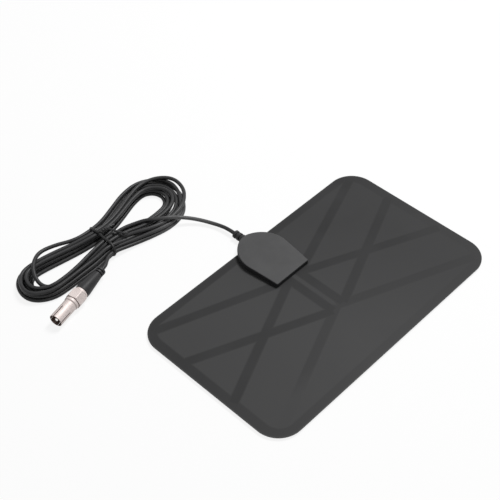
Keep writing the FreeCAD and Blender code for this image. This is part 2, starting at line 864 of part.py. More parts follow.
def cord_tube(name, route, radius):
    """A round tube along a route, with its bends printed and its volume tested."""
    points = [Vector(*point) for point in route]
    path, radii = route_wire(points)
    section = Part.Wire(Part.Circle(points[0], points[1] - points[0], radius.number).toShape())
    tube = path.makePipeShell([section], True, False)
    expected = math.pi * radius.number ** 2 * path.Length
    if abs(tube.Volume - expected) > 0.01 * expected:
        raise RuntimeError(f"{name} has the wrong volume")
    bends = ", ".join(f"{bend:.1f}" for bend in radii)
    print(f"{name}: length {path.Length:.1f} mm, bend radii {bends} mm")
    return tube


def hank_outline(body):
    """The hank from above: two round ends, a waist between them and an opening in each loop."""
    sketch = sketch_on(body, "XY_Plane", "outline")
    left = flat_point(-s.hank_left_reach, 0)
    right = flat_point(s.hank_right_reach, 0)
    left_radius = s.hank_left_radius.number
    right_radius = s.hank_right_radius.number
    waist = s.hank_waist_radius.number
    span = right.x - left.x
    to_left = waist + left_radius
    to_right = waist + right_radius
    along = (to_left ** 2 - to_right ** 2 + span ** 2) / (2 * span)
    side = Vector(left.x + along, math.sqrt(to_left ** 2 - along ** 2), 0)
    left_joint = left + (side - left).normalize() * left_radius
    right_joint = right + (side - right).normalize() * right_radius

    def flip(point):
        return Vector(point.x, -point.y, 0)

    sketch.addGeometry(arc(left, left_radius, left_joint, flip(left_joint)), False)
    sketch.addGeometry(arc(flip(side), waist, flip(right_joint), flip(left_joint)), False)
    sketch.addGeometry(arc(right, right_radius, flip(right_joint), right_joint), False)
    sketch.addGeometry(arc(side, waist, left_joint, right_joint), False)
    for first, first_end, second, second_end in ((0, 2, 1, 2), (1, 1, 2, 1), (2, 2, 3, 2), (3, 1, 0, 1)):
        sketch.addConstraint(Constraint("Tangent", first, first_end, second, second_end))
    pin(sketch, 0, 3, -s.hank_left_reach, 0)
    pin(sketch, 2, 3, s.hank_right_reach, 0)
    dimension(sketch, s.hank_left_radius, "Radius", 0)
    dimension(sketch, s.hank_right_radius, "Radius", 2)
    dimension(sketch, s.hank_waist_radius, "Radius", 1)
    dimension(sketch, s.hank_waist_radius, "Radius", 3)
    return sketch, side.y - math.sqrt(waist ** 2 - side.x ** 2)


def teardrop(sketch, end, end_radius, tip, tip_radius):
    """An opening with a wide round end and a narrow round tip, joined by two tangent lines."""
    end_centre = flat_point(end, 0)
    tip_centre = flat_point(tip, 0)
    reach = tip_centre.x - end_centre.x
    lean = math.acos((end_radius.number - tip_radius.number) / abs(reach))
    outward = Vector(math.copysign(math.cos(lean), reach), math.sin(lean), 0)

    def flip(point):
        return Vector(point.x, -point.y, 0)

    end_top = end_centre + outward * end_radius.number
    tip_top = tip_centre + outward * tip_radius.number
    first = sketch.GeometryCount
    if reach > 0:
        sketch.addGeometry(arc(end_centre, end_radius.number, end_top, flip(end_top)), False)
        sketch.addGeometry(Part.LineSegment(flip(end_top), flip(tip_top)), False)
        sketch.addGeometry(arc(tip_centre, tip_radius.number, flip(tip_top), tip_top), False)
        sketch.addGeometry(Part.LineSegment(tip_top, end_top), False)
    else:
        sketch.addGeometry(arc(end_centre, end_radius.number, flip(end_top), end_top), False)
        sketch.addGeometry(Part.LineSegment(end_top, tip_top), False)
        sketch.addGeometry(arc(tip_centre, tip_radius.number, tip_top, flip(tip_top)), False)
        sketch.addGeometry(Part.LineSegment(flip(tip_top), flip(end_top)), False)
    for line in range(4):
        sketch.addConstraint(Constraint("Tangent", first + line, 2, first + (line + 1) % 4, 1))
    pin(sketch, first, 3, end, 0)
    pin(sketch, first + 2, 3, tip, 0)
    dimension(sketch, end_radius, "Radius", first)
    dimension(sketch, tip_radius, "Radius", first + 2)


def make_tie(half_span):
    """The twist tie: a loop round the waist of the hank, with its two ends twisted and bent aside."""
    bend = s.tie_bend.number
    low = s.tie_radius.number
    high = s.hank_height.number
    slope = bend * (1 - math.sqrt(0.5))
    edges = []
    corners = ((half_span, low, -1, 1), (half_span, high, -1, -1),
               (-half_span, high, 1, -1), (-half_span, low, 1, 1))
    last = Vector(0, -half_span + bend, low)
    for y, z, inward_y, inward_z in corners:
        along_y = Vector(0, y + inward_y * bend, z)
        along_z = Vector(0, y, z + inward_z * bend)
        top = Vector(0, y + inward_y * slope, z + inward_z * slope)
        start, end = (along_y, along_z) if abs(last.z - z) < 1e-6 else (along_z, along_y)
        edges.append(Part.LineSegment(last, start).toShape())
        edges.append(Part.Arc(start, top, end).toShape())
        last = end
    loop_start = edges[0].Vertexes[0].Point
    section = Part.Wire(Part.Circle(loop_start, Vector(0, 1, 0), low).toShape())
    loop = Part.Wire(edges).makePipeShell([section], True, False)
    loop.rotate(Vector(0, 0, 0), Vector(0, 0, 1), -s.tie_turn.number)
    ends = [cord_tube("tie end", route, s.tie_end_radius) for route in TIE_ENDS]
    for end in ends:
        end.translate(Vector(0, 0, high))
    tie = doc.addObject("Part::Feature", "twist_tie")
    tie.Shape = loop.fuse(ends)
    place(tie, s.hank_x, lead_start + s.hank_y, 0)
    keep("twist_tie", tie)
    return tie


def make_cord():
    """The lead outside the housing: the hank with its tie, the loose lead and the short tail to the plug."""
    hank = new_body("hank_blank")
    outline, waist_half = hank_outline(hank)
    teardrop(outline, -s.left_opening_reach, s.left_opening_radius, -s.left_opening_tip, s.opening_tip_radius)
    teardrop(outline, s.right_opening_reach, s.right_opening_radius, s.right_opening_tip,
             s.opening_tip_radius)
    bundle = pad(outline, hank, s.hank_height)
    soften(hank, bundle, lambda edge: not is_upright(edge), s.hank_edge_round)
    place(hank, s.hank_x, lead_start + s.hank_y, 0)
    tie = make_tie(waist_half)
    keep("cable_hank", cut("cable_hank", hank, tie))
    stretches = (
        ("antenna_lead", LEAD_ROUTE, (0, lead_start, lead_height)),
        ("plug_tail", TAIL_ROUTE, (s.plug_x, lead_start + s.plug_y, plug_height)),
    )
    for label, route, start in stretches:
        tube = doc.addObject("Part::Feature", f"{label}_tube")
        tube.Shape = cord_tube(label, route, s.cable_radius)
        place(tube, *start)
        keep(label, cut(label, cut(f"{label}_free", tube, hank), tie))


def set_on_plug_axis(item):
    """Lay a piece of the plug down with its local Z along the plug and a flat of the nut on the floor."""
    item.Placement.Rotation = Rotation(Vector(0, 0, 1), s.plug_turn.number) * Rotation(Vector(1, 1, 1), 120)
    place(item, s.plug_x, lead_start + s.plug_y, plug_height)


def plug_piece(label, profile):
    """A turned piece of the plug. The profile gives radius and distance along the plug's axis."""
    body, turned = turned_body(label, "XZ_Plane", "V_Axis", profile)
    set_on_plug_axis(body)
    keep(label, body)
    return body, turned


# Places along the plug's axis, from the cable end, and the radii that its pieces share
ferrule_back = s.boot_length - s.ferrule_depth
nut_back = s.boot_length + s.ferrule_ring_width
lip_start = nut_back + s.nut_wall + s.plug_clearance
ferrule_front = lip_start + s.ferrule_lip_width
ferrule_lip = s.ferrule_neck_radius + s.ferrule_lip_height
thread_radius = s.nut_flats / 2 - s.nut_thread_wall
nut_front = nut_back + s.nut_length
thread_back = nut_front - s.thread_length
mouth_floor = nut_front + s.shell_floor
insulator_front = mouth_floor + s.insulator_face
shell_tip = nut_front + s.adapter_length
pin_start = thread_back + s.pin_back


def make_plug_grip():
    """The moulded grip with its two grooves, and the crimped ferrule that the nut turns on."""
    back = s.boot_back_radius
    front = s.boot_front_radius
    floor = back - s.boot_groove_depth
    profile = [(s.cable_radius, 0), (back, 0)]
    for number in range(2):
        start = s.boot_groove_start + s.boot_groove_pitch * number
        end = start + s.boot_groove_width
        profile += [(back, start), (floor, start), (floor, end), (back, end)]
    profile += [(front, s.boot_length - s.boot_front_land), (front, s.boot_length),
                (s.ferrule_radius, s.boot_length), (s.ferrule_radius, ferrule_back),
                (s.cable_radius, ferrule_back)]
    body, turned = plug_piece("plug_boot", profile)

    def outer_end(edge):
        at_end = edge.BoundBox.ZMax < 1e-6 or edge.BoundBox.ZMin > s.boot_length.number - 1e-6
        return at_end and (is_circle_of(back)(edge) or is_circle_of(front)(edge))

    soften(body, turned, outer_end, s.boot_edge_round)

    bore = s.plug_dielectric_radius
    plug_piece("connector_ferrule", (
        (bore, ferrule_back), (s.ferrule_radius, ferrule_back), (s.ferrule_radius, s.boot_length),
        (s.ferrule_ring_radius, s.boot_length), (s.ferrule_ring_radius, nut_back),
        (s.ferrule_neck_radius, nut_back), (s.ferrule_neck_radius, lip_start),
        (ferrule_lip, lip_start), (ferrule_lip, ferrule_front), (bore, ferrule_front)))


def make_nut():
    """The hexagon nut, chamfered at both ends, with an inner lip at the back."""
    corner = s.nut_flats / math.sqrt(3)
    prism = solid_of("Part::Prism", "nut_prism", Circumradius=corner, Height=s.nut_length)
    prism.Polygon = 6
    bind(prism, "Placement.Base.z", nut_back)
    face = s.nut_flats / 2
    inner = thread_radius + s.nut_clearance
    lip = s.ferrule_neck_radius + s.nut_clearance
    ledge = nut_back + s.nut_wall
    rim, _ = turned_body("nut_turning", "XZ_Plane", "V_Axis", (
        (lip, nut_back), (face, nut_back), (face + s.nut_chamfer, nut_back + s.nut_chamfer),
        (face + s.nut_chamfer, nut_front - s.nut_chamfer), (face, nut_front), (inner, nut_front),
        (inner, ledge), (lip, ledge)))
    nut = doc.addObject("Part::Common", "connector_nut")
    nut.Base = prism
    nut.Tool = rim
    set_on_plug_axis(nut)
    keep("connector_nut", nut)


def make_adapter():
    """The aerial plug on the nut: a slotted sleeve with its flange, an insulator and the centre pin."""
    bore = s.insulator_radius + s.plug_clearance
    mouth = s.shell_radius - s.shell_wall
    flange_front = nut_front + s.adapter_flange_width
    sleeve, turned = turned_body("adapter_turning", "XZ_Plane", "V_Axis", (
        (bore, thread_back), (thread_radius, thread_back), (thread_radius, nut_front),
        (s.adapter_flange_radius, nut_front), (s.adapter_flange_radius, flange_front),
        (s.shell_radius, flange_front + s.adapter_taper), (s.shell_radius, shell_tip), (mouth, shell_tip),
        (mouth, mouth_floor), (bore, mouth_floor)))

    def tip_edge(edge):
        return edge.BoundBox.ZMin > shell_tip.number - 1e-6

    soften(sleeve, turned, tip_edge, s.shell_tip_round)
    slits = []
    for name, turn_angle, side in (("slit", 0, 1), ("cross_slit", 90, -1)):
        slit = solid_of("Part::Box", name, Length=s.shell_radius * 4, Width=s.slit_width,
                        Height=s.slit_length * 2)
        slit.Placement.Rotation = Rotation(Vector(0, 0, 1), turn_angle)
        along = -s.shell_radius * 2
        across = -s.slit_width / 2
        corner = (along, across) if side > 0 else (-across, along)
        place(slit, *corner, shell_tip - s.slit_length)
        slits.append(slit)
    cross = fuse("slits", *slits)
    cross.Placement.Rotation = Rotation(Vector(0, 0, 1), s.slit_turn.number)
    shell = cut("adapter_shell", sleeve, cross)
    set_on_plug_axis(shell)
    keep("adapter_shell", shell)

    hole = s.pin_radius
    face = mouth - s.plug_clearance
    plug_piece("adapter_insulator", (
        (hole, thread_back), (s.insulator_radius, thread_back), (s.insulator_radius, mouth_floor),
        (face, mouth_floor), (face, insulator_front), (hole, insulator_front)))

    socket = s.plug_conductor_radius + s.plug_clearance
    socket_end = pin_start + s.pin_socket_depth
    pin_end = shell_tip - s.pin_recess
    body, turned = plug_piece("adapter_pin", (
        (socket, pin_start), (s.pin_radius, pin_start), (s.pin_radius, pin_end), (0, pin_end),
        (0, socket_end), (socket, socket_end)))

    def pin_tip(edge):
        return edge.BoundBox.ZMin > pin_end.number - 1e-6

    soften(body, turned, pin_tip, s.pin_tip_round)


def make_plug_core():
    """The stripped end of the lead inside the plug."""
    pieces = (
        ("plug_jacket_end", s.cable_radius, as_size(0), ferrule_back),
        ("plug_dielectric", s.plug_dielectric_radius, ferrule_back, ferrule_front),
        ("plug_conductor", s.plug_conductor_radius, ferrule_front, ferrule_front + s.plug_conductor_length),
    )
    for label, radius, start, end in pieces:
        plug_piece(label, ((0, start), (radius, start), (radius, end), (0, end)))


make_films(make_foil())
make_top_cover()
make_back_cover()
make_fasteners()
make_balun()
make_relief()
make_lead_end()
make_cord()
make_plug_grip()
make_nut()
make_adapter()
make_plug_core()
doc.recompute()

for item in doc.Objects:
    if {"Invalid", "Error"} & set(item.State):
        raise RuntimeError(f"{item.Name} is {item.State}")
for label, item in parts.items():
    if item.Shape.isNull() or not item.Shape.isValid():
        raise RuntimeError(f"{label} has no valid shape")

os.makedirs("parts", exist_ok=True)
for label, item in parts.items():
    item.Shape.exportStep(f"parts/{label}.step")
    print(f"{label}: {len(item.Shape.Solids)} solid, {item.Shape.Volume:.1f} mm3")
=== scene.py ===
import math

import bpy
import numpy as np
from mathutils import Matrix, Vector


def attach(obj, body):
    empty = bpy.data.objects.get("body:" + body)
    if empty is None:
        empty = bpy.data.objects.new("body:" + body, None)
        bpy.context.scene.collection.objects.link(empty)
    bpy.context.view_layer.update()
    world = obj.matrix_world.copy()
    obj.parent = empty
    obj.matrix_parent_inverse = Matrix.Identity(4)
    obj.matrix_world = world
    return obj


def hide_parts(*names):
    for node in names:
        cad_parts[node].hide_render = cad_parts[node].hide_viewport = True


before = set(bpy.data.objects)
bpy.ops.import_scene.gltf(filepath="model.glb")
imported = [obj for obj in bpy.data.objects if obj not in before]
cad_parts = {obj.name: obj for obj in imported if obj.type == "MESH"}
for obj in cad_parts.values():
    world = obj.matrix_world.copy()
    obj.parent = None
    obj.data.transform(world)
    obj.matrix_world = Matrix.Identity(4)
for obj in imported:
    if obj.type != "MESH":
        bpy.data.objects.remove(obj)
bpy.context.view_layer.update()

# The view. The antenna lies flat and is seen from its front left corner, from well above, with a long lens.
# Where the camera stands and how it is turned was worked out from the four straight sides of the sheet.
MM = 0.001
camera_data = bpy.data.cameras.new("photo_camera")
camera_data.lens = 77.4
camera_data.sensor_width = 36.0
camera_data.clip_start = 0.01
camera_data.dof.use_dof = False
camera = bpy.data.objects.new("photo_camera", camera_data)
bpy.context.scene.collection.objects.link(camera)
camera_right = Vector((0.69872, -0.71472, -0.03092))
camera_up = Vector((0.53720, 0.49565, 0.68246))
camera_ahead = Vector((0.47244, 0.49346, -0.73027))
camera_eye = Vector((-356.44, -314.99, 547.86)) * MM
camera_turn = Matrix((camera_right, camera_up, -camera_ahead)).transposed()
camera.matrix_world = Matrix.Translation(camera_eye) @ camera_turn.to_4x4()
bpy.context.scene.camera = camera
bpy.context.scene.view_settings.view_transform = "Standard"


# The floor and the light. A plain pale table that runs on to white, under one wide soft lamp and a bright
# room, so that the black plastics keep their own colour and the metal has something pale to reflect.
def add(tree, kind, inputs=None, **settings):
    """One node of a tree, with its settings and with values or other nodes' outputs on its inputs."""
    node = tree.nodes.new(kind)
    for name, value in settings.items():
        setattr(node, name, value)
    for name, value in (inputs or {}).items():
        if isinstance(value, bpy.types.NodeSocket):
            tree.links.new(value, node.inputs[name])
        else:
            node.inputs[name].default_value = value
    return node


def sum_up(tree, operation, first, second=0.0, third=0.0):
    """The output of one sum on up to three values."""
    return add(tree, "ShaderNodeMath", {0: first, 1: second, 2: third}, operation=operation).outputs[0]


def straight_view(tree):
    """1 for what is seen directly, in a mirror or through glass, and 0 for light that fills the room."""
    path = add(tree, "ShaderNodeLightPath").outputs
    seen = sum_up(tree, "MAXIMUM", path["Is Camera Ray"], path["Is Glossy Ray"])
    return sum_up(tree, "MAXIMUM", seen, path["Is Transmission Ray"])


white = (1.0, 1.0, 1.0, 1.0)
room_fill = 0.22
room = bpy.data.worlds.new("pale_room")
room.use_nodes = True
room_tree = room.node_tree
room_light = room_tree.nodes["Background"].inputs
room_light["Color"].default_value = white
room_strength = sum_up(room_tree, "MULTIPLY_ADD", straight_view(room_tree), 1.0 - room_fill, room_fill)
room_tree.links.new(room_strength, room_light["Strength"])
bpy.context.scene.world = room

lamp_data = bpy.data.lights.new("soft_lamp", "AREA")
lamp_data.shape = "DISK"
lamp_data.size = 0.45
lamp_data.energy = 17.8
lamp_aim = Vector((-0.02, 0.05, 0.0))
lamp = bpy.data.objects.new("soft_lamp", lamp_data)
lamp.location = (0.66, 0.05, 1.23)
lamp.rotation_euler = (lamp_aim - lamp.location).to_track_quat("-Z", "Y").to_euler()
bpy.context.scene.collection.objects.link(lamp)

floor_half, floor_drop = 3.0, 0.0003
floor_signs = ((-1, -1), (1, -1), (1, 1), (-1, 1))
floor_corners = [(x * floor_half, y * floor_half, -floor_drop) for x, y in floor_signs]
floor_mesh = bpy.data.meshes.new("table")
floor_mesh.from_pydata(floor_corners, [], [(0, 1, 2, 3)])
floor = bpy.data.objects.new("table", floor_mesh)
bpy.context.scene.collection.objects.link(floor)
table_glow_share = 0.86
table_white = bpy.data.materials.new("table_white")
table_white.use_nodes = True
table_tree = table_white.node_tree
table_tree.nodes.clear()
table_paint = add(table_tree, "ShaderNodeBsdfDiffuse", {"Color": (0.93, 0.93, 0.93, 1.0)})
table_glow = add(table_tree, "ShaderNodeEmission", {"Color": white, "Strength": 1.0})
table_share = sum_up(table_tree, "MULTIPLY", straight_view(table_tree), table_glow_share)
table_mix = add(table_tree, "ShaderNodeMixShader",
                {0: table_share, 1: table_paint.outputs[0], 2: table_glow.outputs[0]})
add(table_tree, "ShaderNodeOutputMaterial", {"Surface": table_mix.outputs[0]})
floor_mesh.materials.append(table_white)


# The sheet. Two thin satin films with a foil element laminated between them. The foil shows through as
# darker bands: a border, two straight strips beside a narrow gap, and four slanting arms on each side.
def new_finish(name, colour, roughness, metallic=0.0, specular=0.5):
    """A material with its node tree and its shader."""
    material = bpy.data.materials.new(name)
    material.use_nodes = True
    shader = material.node_tree.nodes["Principled BSDF"]
    shader.inputs["Base Color"].default_value = (*colour, 1.0)
    shader.inputs["Roughness"].default_value = roughness
    shader.inputs["Metallic"].default_value = metallic
    shader.inputs["Specular IOR Level"].default_value = specular
    material.diffuse_color = (*colour, 1.0)
    return material, material.node_tree, shader


def vector_sum(tree, operation, first, second=(0.0, 0.0, 0.0)):
    """The vector that one sum on one or two vectors gives."""
    return add(tree, "ShaderNodeVectorMath", {0: first, 1: second}, operation=operation).outputs[0]


def vector_measure(tree, operation, first, second=(0.0, 0.0, 0.0)):
    """The number that one sum on one or two vectors gives, such as a length or a distance."""
    return add(tree, "ShaderNodeVectorMath", {0: first, 1: second}, operation=operation).outputs["Value"]


def place_of(tree, scale=(1.0, 1.0, 1.0), shift=(0.0, 0.0, 0.0)):
    """Object coordinates, stretched and then shifted."""
    spot = add(tree, "ShaderNodeTexCoord").outputs["Object"]
    return add(tree, "ShaderNodeMapping", {"Vector": spot, "Location": shift, "Scale": scale}).outputs[0]


def grain(tree, per_mm, detail=2.0, spot=None):
    """Fine random grain with so many bumps to the mm, from 0 to 1."""
    spot = spot or place_of(tree)
    settings = {"Vector": spot, "Scale": per_mm / MM, "Detail": detail}
    return add(tree, "ShaderNodeTexNoise", settings).outputs[0]


def remap(tree, value, low, high, to_low=0.0, to_high=1.0, soft=False):
    """A value's range changed to another one, held at both ends."""
    kind = "SMOOTHSTEP" if soft else "LINEAR"
    return add(tree, "ShaderNodeMapRange", {0: value, 1: low, 2: high, 3: to_low, 4: to_high},
               interpolation_type=kind).outputs[0]


def mix_colours(tree, share, first, second):
    """A colour between two others; each is a colour or another node's output."""
    pair = [tone if isinstance(tone, bpy.types.NodeSocket) else (*tone, 1.0) for tone in (first, second)]
    return add(tree, "ShaderNodeMix", {0: share, 6: pair[0], 7: pair[1]}, data_type="RGBA").outputs[2]


def paint(tree, shader, share, first, second):
    """Gives a finish its colour, between two others."""
    tree.links.new(mix_colours(tree, share, first, second), shader.inputs["Base Color"])


def raise_surface(tree, shader, height, depth_mm, strength=1.0, below=None):
    """Bumps of that depth from a height between 0 and 1."""
    inputs = {"Height": height, "Strength": strength, "Distance": depth_mm * MM}
    if below is not None:
        inputs["Normal"] = below
    bumps = add(tree, "ShaderNodeBump", inputs).outputs[0]
    tree.links.new(bumps, shader.inputs["Normal"])
    return bumps


def wear(material, *names):
    """Gives CAD nodes their finish."""
    for name in names:
        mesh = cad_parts[name].data
        mesh.materials.clear()
        mesh.materials.append(material)


def rounded_share(tree, spot, half, corner, blur):
    """1 inside a rounded rectangle round the middle of the sheet, 0 outside it; sizes in mm."""
    away = vector_sum(tree, "SUBTRACT", spot, (half[0] - corner, half[1] - corner, 0.0))
    reach = vector_measure(tree, "LENGTH", vector_sum(tree, "MAXIMUM", away))
    return remap(tree, reach, corner - blur, corner + blur, 1.0, 0.0, soft=True)


def arm_share(tree, spot, start, end, width, blur):
    """1 on a straight band from start to end, 0 beside it; sizes in mm."""
    run = (Vector(end) - Vector(start)).to_3d()
    across = Vector((-run.y, run.x, 0.0))
    from_start = vector_sum(tree, "SUBTRACT", spot, (*start, 0.0))
    along = vector_measure(tree, "DOT_PRODUCT", from_start, run.normalized())
    beside = sum_up(tree, "ABSOLUTE", vector_measure(tree, "DOT_PRODUCT", from_start, across.normalized()))
    share = remap(tree, beside, width / 2 - blur, width / 2 + blur, 1.0, 0.0, soft=True)
    share = sum_up(tree, "MULTIPLY", share, remap(tree, along, -blur, blur, soft=True))
    short_of_end = remap(tree, along, run.length - blur, run.length + blur, 1.0, 0.0, soft=True)
    return sum_up(tree, "MULTIPLY", share, short_of_end)


sheet_half, sheet_corner, sheet_middle = (106.5, 64.5), 18.5, -7.25
foil_outer, foil_outer_corner = (105.7, 63.7), 17.7
foil_inner, foil_inner_corner = (99.1, 58.2), 11.0
# One side's bands: where each starts and ends, its width, and how strongly it shows.
foil_arms = (
    ((4.95, 22.0), (97.0, 56.5), 6.6, 1.0), ((4.95, 22.0), (102.4, -21.5), 6.6, 1.0),
    ((4.95, -17.5), (102.4, 23.8), 6.6, 1.0), ((0.0, -16.0), (97.0, -56.5), 6.6, 0.65),
    ((4.95, -17.6), (4.95, 33.0), 6.7, 1.0))
band_blur, edge_width, edge_blur = 0.9, 0.25, 0.12
# The far colours are the film and its bands in painted shade, used towards the right and the back.
film_colour, far_film_shade_colour = (0.0575, 0.0575, 0.058), (0.041, 0.041, 0.0415)
banded_colour, far_band_shade_colour = (0.034, 0.034, 0.0345), (0.027, 0.027, 0.0275)
cloud_colour, speck_colour, cut_edge_colour = (0.06, 0.06, 0.062), (0.03, 0.03, 0.03), (0.09, 0.09, 0.09)

satin_film, film_tree, film_shader = new_finish("satin_film", film_colour, 0.5, specular=0.07)
film_spot = place_of(film_tree, scale=(1 / MM, 1 / MM, 0.0), shift=(0.0, -sheet_middle, 0.0))
film_side, film_depth, _ = add(film_tree, "ShaderNodeSeparateXYZ", {0: film_spot}).outputs
side_folded = sum_up(film_tree, "ABSOLUTE", film_side)
folded = add(film_tree, "ShaderNodeCombineXYZ", {0: side_folded, 1: film_depth}).outputs[0]
both_folded = vector_sum(film_tree, "ABSOLUTE", film_spot)
border = sum_up(film_tree, "SUBTRACT",
                rounded_share(film_tree, both_folded, foil_outer, foil_outer_corner, band_blur),
                rounded_share(film_tree, both_folded, foil_inner, foil_inner_corner, band_blur))
to_the_back = sum_up(film_tree, "MULTIPLY_ADD", film_side, -0.55, film_depth)
border_fade = remap(film_tree, to_the_back, -70.0, 70.0, 0.25, 1.0)
bands = sum_up(film_tree, "MULTIPLY", border, border_fade)
arm_fade = remap(film_tree, film_side, 60.0, 108.0, 1.0, 0.65)
from_the_front = sum_up(film_tree, "MULTIPLY_ADD", film_side, 0.2, film_depth)
front_fade = remap(film_tree, from_the_front, -61.0, -47.0, 0.1, 1.0)
for start, end, width, strength in foil_arms:
    arm = arm_share(film_tree, folded, start, end, width, band_blur)
    for fade in (strength, arm_fade, front_fade):
        arm = sum_up(film_tree, "MULTIPLY", arm, fade)
    bands = sum_up(film_tree, "MAXIMUM", bands, arm)
film_clouds = grain(film_tree, 0.03, 3.0)
film_fine = grain(film_tree, 2.2, 3.0)
# Painted shade: the film and its bands are painted darker towards the right and the back of the sheet.
to_the_right = sum_up(film_tree, "MULTIPLY_ADD", film_depth, 0.25, film_side)
far_painted_shade_share = remap(film_tree, to_the_right, -40.0, 80.0, soft=True)
film_tone = mix_colours(film_tree, far_painted_shade_share, film_colour, far_film_shade_colour)
band_tone = mix_colours(film_tree, far_painted_shade_share, banded_colour, far_band_shade_colour)
film_tone = mix_colours(film_tree, bands, film_tone, band_tone)
cloud_share = remap(film_tree, film_clouds, 0.3, 0.7, 0.0, 0.22)
film_tone = mix_colours(film_tree, cloud_share, film_tone, cloud_colour)
speck_share = remap(film_tree, film_fine, 0.35, 0.65, 0.0, 0.16)
film_tone = mix_colours(film_tree, speck_share, film_tone, speck_colour)
within_half = [half - edge_width for half in sheet_half]
within_edge = rounded_share(film_tree, both_folded, within_half, sheet_corner - edge_width, edge_blur)
paint(film_tree, film_shader, within_edge, cut_edge_colour, film_tone)
film_gloss = remap(film_tree, film_clouds, 0.25, 0.75, 0.46, 0.56)
film_gloss = sum_up(film_tree, "MULTIPLY_ADD", bands, -0.05, film_gloss)
film_tree.links.new(film_gloss, film_shader.inputs["Roughness"])
foil_step = raise_surface(film_tree, film_shader, bands, 0.05)
raise_surface(film_tree, film_shader, film_fine, 0.02, 0.6, below=foil_step)
wear(satin_film, "front_film", "back_film")

dark_foil, foil_tree, foil_shader = new_finish("dark_foil", (0.05, 0.05, 0.052), 0.35, 1.0)
foil_rolled = grain(foil_tree, 0.6, 2.0, place_of(foil_tree, scale=(0.05, 1.0, 1.0)))
paint(foil_tree, foil_shader, foil_rolled, (0.045, 0.045, 0.047), (0.06, 0.06, 0.062))
wear(dark_foil, "antenna_foil")


# The housing. A slim shield-shaped box of black plastic, moulded in two halves that close round the
# sheet's edge. Two small plated screws hold them from behind. Its top is painted greyer, a painted sheen,
# and its side walls are painted near black as painted shade.
def upward_share(tree, low, high):
    """1 where a surface faces up, 0 where it is upright."""
    facing = add(tree, "ShaderNodeNewGeometry").outputs["Normal"]
    return remap(tree, add(tree, "ShaderNodeSeparateXYZ", {0: facing}).outputs[2], low, high, soft=True)


matt_housing, housing_tree, housing_shader = new_finish("matt_housing", (0.071, 0.071, 0.073), 0.62,
                                                        specular=0.2)
spark = grain(housing_tree, 3.5, 3.0)
housing_clouds = remap(housing_tree, grain(housing_tree, 0.08, 2.0), 0.3, 0.7)
housing_specks = remap(housing_tree, spark, 0.4, 0.7, 0.0, 0.3)
# Painted light: surfaces that face up get a grained grey tone that stands in for the sheen of the light on
# the top, and upright walls get a near-black painted shade.
painted_sheen_top_tone = mix_colours(housing_tree, housing_clouds, (0.057, 0.057, 0.058), (0.068, 0.068, 0.069))
painted_sheen_top_tone = mix_colours(housing_tree, housing_specks, painted_sheen_top_tone, (0.05, 0.05, 0.051))
painted_shade_wall_tone = (0.016, 0.016, 0.017)
paint(housing_tree, housing_shader, upward_share(housing_tree, 0.5, 0.92), painted_shade_wall_tone, painted_sheen_top_tone)
housing_tree.links.new(remap(housing_tree, spark, 0.3, 0.7, 0.56, 0.68), housing_shader.inputs["Roughness"])
raise_surface(housing_tree, housing_shader, spark, 0.04, 0.7)
wear(matt_housing, "housing_top_cover", "housing_back_cover")

plated_steel, steel_tree, steel_shader = new_finish("plated_steel", (0.5, 0.5, 0.52), 0.3, 1.0)
steel_marks = grain(steel_tree, 4.0, 2.0, place_of(steel_tree, scale=(1.0, 0.1, 1.0)))
steel_tree.links.new(remap(steel_tree, steel_marks, 0.3, 0.7, 0.24, 0.4), steel_shader.inputs["Roughness"])
paint(steel_tree, steel_shader, steel_marks, (0.46, 0.46, 0.48), (0.55, 0.55, 0.57))
wear(plated_steel, "housing_screws")

# The matching board inside the housing. A small green board carries a two-hole ferrite core with a few
# turns of copper wire, and two brass eyelets rivet it to the foil's two strips.
board_lacquer, board_tree, board_shader = new_finish("board_lacquer", (0.05, 0.18, 0.09), 0.35)
threads_per_mm = 1.8
weave_settings = {"Vector": place_of(board_tree), "Scale": threads_per_mm / MM}
board_weave = add(board_tree, "ShaderNodeTexChecker", weave_settings).outputs[1]
weave_share = sum_up(board_tree, "MULTIPLY", board_weave, 0.3)
paint(board_tree, board_shader, weave_share, (0.05, 0.18, 0.09), (0.08, 0.22, 0.12))
raise_surface(board_tree, board_shader, board_weave, 0.02, 0.4)
wear(board_lacquer, "balun_board")

dull_ferrite, ferrite_tree, ferrite_shader = new_finish("dull_ferrite", (0.06, 0.06, 0.065), 0.7)
pits = grain(ferrite_tree, 5.0, 3.0)
paint(ferrite_tree, ferrite_shader, pits, (0.05, 0.05, 0.055), (0.075, 0.075, 0.08))
raise_surface(ferrite_tree, ferrite_shader, pits, 0.03, 0.6)
wear(dull_ferrite, "balun_core")

bare_copper, copper_tree, copper_shader = new_finish("bare_copper", (0.72, 0.38, 0.22), 0.32, 1.0)
copper_stain = remap(copper_tree, grain(copper_tree, 1.5, 2.0), 0.35, 0.7)
paint(copper_tree, copper_shader, copper_stain, (0.74, 0.4, 0.24), (0.55, 0.27, 0.16))
wear(bare_copper, "balun_winding", "lead_conductor_end", "lead_shield_end", "plug_conductor")

plain_brass, brass_tree, brass_shader = new_finish("plain_brass", (0.78, 0.62, 0.3), 0.3, 1.0)
brass_stain = grain(brass_tree, 1.5, 2.0)
paint(brass_tree, brass_shader, brass_stain, (0.8, 0.64, 0.32), (0.66, 0.5, 0.22))
wear(plain_brass, "feed_rivets")

# The relief at the housing's nose, and the plug's grip further on. Both are soft black mouldings, cast
# round the lead, with a fine satin skin that is a little shinier where it has been handled.
soft_grip, grip_tree, grip_shader = new_finish("soft_grip", (0.014, 0.014, 0.015), 0.5, specular=0.22)
grip_skin = grain(grip_tree, 3.0, 3.0)
grip_rub = grain(grip_tree, 0.12, 2.0)
grip_share = remap(grip_tree, grip_rub, 0.3, 0.7)
paint(grip_tree, grip_shader, grip_share, (0.018, 0.018, 0.019), (0.027, 0.027, 0.028))
grip_tree.links.new(remap(grip_tree, grip_rub, 0.3, 0.7, 0.42, 0.55), grip_shader.inputs["Roughness"])
raise_surface(grip_tree, grip_shader, grip_skin, 0.03, 0.6)
wear(soft_grip, "strain_relief", "plug_boot")

